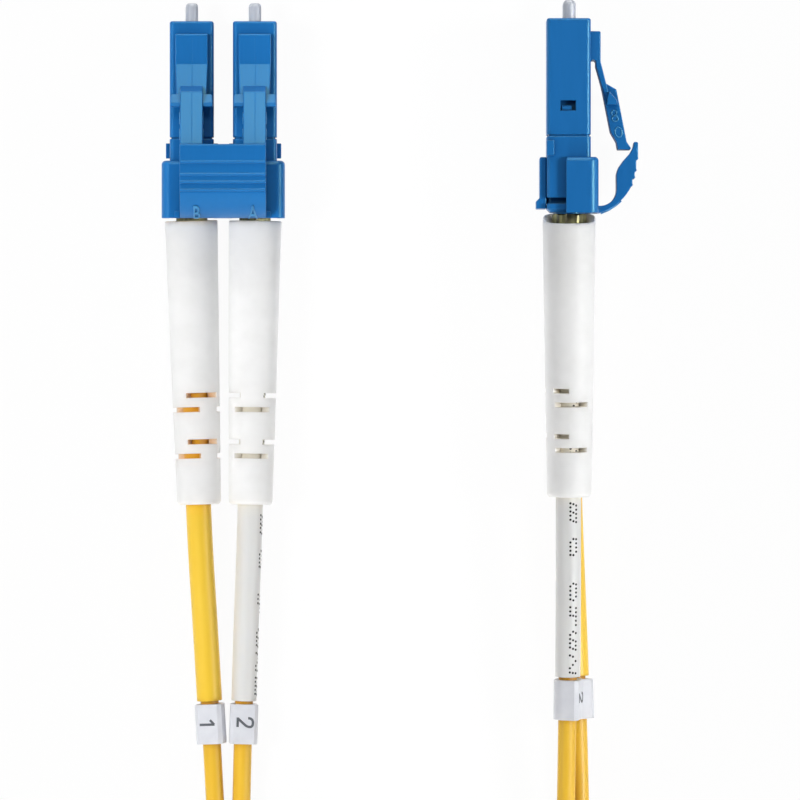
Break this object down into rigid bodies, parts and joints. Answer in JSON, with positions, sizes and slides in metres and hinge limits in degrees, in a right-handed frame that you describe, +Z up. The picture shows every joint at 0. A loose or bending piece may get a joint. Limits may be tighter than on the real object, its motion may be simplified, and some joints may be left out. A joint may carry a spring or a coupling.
{
  "type": "fibre optic patch cable",
  "caption": "Duplex fibre patch cable with small latching LC-style plugs in clips with triggers, slotted white boots, marked yellow legs and a tied coil of twin cable.",
  "frame": {"origin": "on the resting surface, under the middle of the box round the two plug ends", "axes": "+Y along the plugs towards the ferrule tips, +X from the first end to the second, +Z up from the resting surface"},
  "size_m": [0.047, 0.1471, 0.0122],
  "materials": {
    "blue_plastic": "moulded, satin gloss",
    "ceramic": "polished white zirconia",
    "nickel_steel": "nickel plated",
    "spring_steel": "drawn wire",
    "crimp_metal": "crimped, dull",
    "white_boot": "soft moulded, matte",
    "yellow_sleeve": "smooth flexible tube",
    "white_sleeve": "smooth flexible tube, dot printed",
    "yellow_jacket": "extruded cable jacket",
    "marker_plastic": "moulded, matte",
    "tie_fabric": "hook-and-loop tape"
  },
  "bodies": {
    "cable": {"a_clip": "blue_plastic", "a_twin_lead": "yellow_jacket", "b_clip": "blue_plastic", "b_twin_lead": "yellow_jacket", "a1_plug_housing": "blue_plastic", "a1_rear_body": "blue_plastic", "a1_crimp_sleeve": "crimp_metal", "a1_boot": "white_boot", "a1_spring": "spring_steel", "a1_sleeve": "yellow_sleeve", "a1_marker": "marker_plastic", "a1_leg": "yellow_jacket", "a2_plug_housing": "blue_plastic", "a2_rear_body": "blue_plastic", "a2_crimp_sleeve": "crimp_metal", "a2_boot": "white_boot", "a2_spring": "spring_steel", "a2_sleeve": "white_sleeve", "a2_marker": "marker_plastic", "a2_leg": "yellow_jacket", "b1_plug_housing": "blue_plastic", "b1_rear_body": "blue_plastic", "b1_crimp_sleeve": "crimp_metal", "b1_boot": "white_boot", "b1_spring": "spring_steel", "b1_sleeve": "yellow_sleeve", "b1_marker": "marker_plastic", "b1_leg": "yellow_jacket", "b2_plug_housing": "blue_plastic", "b2_rear_body": "blue_plastic", "b2_crimp_sleeve": "crimp_metal", "b2_boot": "white_boot", "b2_spring": "spring_steel", "b2_sleeve": "white_sleeve", "b2_marker": "marker_plastic", "b2_leg": "yellow_jacket", "coil": "yellow_jacket", "coil_tie": "tie_fabric"},
    "a_trigger_arm": {"a_trigger": "blue_plastic"},
    "b_trigger_arm": {"b_trigger": "blue_plastic"},
    "a1_latch_arm": {"a1_latch": "blue_plastic"},
    "a1_ferrule_unit": {"a1_ferrule": "ceramic", "a1_ferrule_flange": "nickel_steel"},
    "a2_latch_arm": {"a2_latch": "blue_plastic"},
    "a2_ferrule_unit": {"a2_ferrule": "ceramic", "a2_ferrule_flange": "nickel_steel"},
    "b1_latch_arm": {"b1_latch": "blue_plastic"},
    "b1_ferrule_unit": {"b1_ferrule": "ceramic", "b1_ferrule_flange": "nickel_steel"},
    "b2_latch_arm": {"b2_latch": "blue_plastic"},
    "b2_ferrule_unit": {"b2_ferrule": "ceramic", "b2_ferrule_flange": "nickel_steel"}
  },
  "joints": [
    {"name": "a_trigger_press", "type": "hinge", "parent": "cable", "child": "a_trigger_arm", "pos_m": [-0.01744, 0.00374, 0.00629], "axis": [-1, 0, 0], "range_deg": [0, 11], "stiffness_Nm_per_rad": 0.2},
    {"name": "b_trigger_press", "type": "hinge", "parent": "cable", "child": "b_trigger_arm", "pos_m": [0.01977, 0.00392, 0.0061], "axis": [0, 0, 1], "range_deg": [0, 11], "stiffness_Nm_per_rad": 0.2},
    {"name": "a1_latch_press", "type": "hinge", "parent": "cable", "child": "a1_latch_arm", "pos_m": [-0.02057, 0.01874, 0.00637], "axis": [1, 0, 0], "range_deg": [0, 9], "stiffness_Nm_per_rad": 0.05},
    {"name": "a1_ferrule_push", "type": "slide", "parent": "cable", "child": "a1_ferrule_unit", "axis": [0, -1, 0], "range_m": [0, 0.001], "stiffness_N_per_m": 800, "deforming": ["a1_spring"]},
    {"name": "a2_latch_press", "type": "hinge", "parent": "cable", "child": "a2_latch_arm", "pos_m": [-0.01432, 0.01874, 0.00637], "axis": [1, 0, 0], "range_deg": [0, 9], "stiffness_Nm_per_rad": 0.05},
    {"name": "a2_ferrule_push", "type": "slide", "parent": "cable", "child": "a2_ferrule_unit", "axis": [0, -1, 0], "range_m": [0, 0.001], "stiffness_N_per_m": 800, "deforming": ["a2_spring"]},
    {"name": "b1_latch_press", "type": "hinge", "parent": "cable", "child": "b1_latch_arm", "pos_m": [0.01985, 0.01892, 0.00298], "axis": [0, 0, -1], "range_deg": [0, 9], "stiffness_Nm_per_rad": 0.05},
    {"name": "b1_ferrule_push", "type": "slide", "parent": "cable", "child": "b1_ferrule_unit", "axis": [0, -1, 0], "range_m": [0, 0.001], "stiffness_N_per_m": 800, "deforming": ["b1_spring"]},
    {"name": "b2_latch_press", "type": "hinge", "parent": "cable", "child": "b2_latch_arm", "pos_m": [0.01985, 0.01892, 0.00923], "axis": [0, 0, -1], "range_deg": [0, 9], "stiffness_Nm_per_rad": 0.05},
    {"name": "b2_ferrule_push", "type": "slide", "parent": "cable", "child": "b2_ferrule_unit", "axis": [0, -1, 0], "range_m": [0, 0.001], "stiffness_N_per_m": 800, "deforming": ["b2_spring"]}
  ],
  "couplings": [
    {"joint": "a1_latch_press", "follows": "a_trigger_press", "ratio": 0.8},
    {"joint": "a2_latch_press", "follows": "a_trigger_press", "ratio": 0.8},
    {"joint": "b1_latch_press", "follows": "b_trigger_press", "ratio": 0.8},
    {"joint": "b2_latch_press", "follows": "b_trigger_press", "ratio": 0.8}
  ]
}
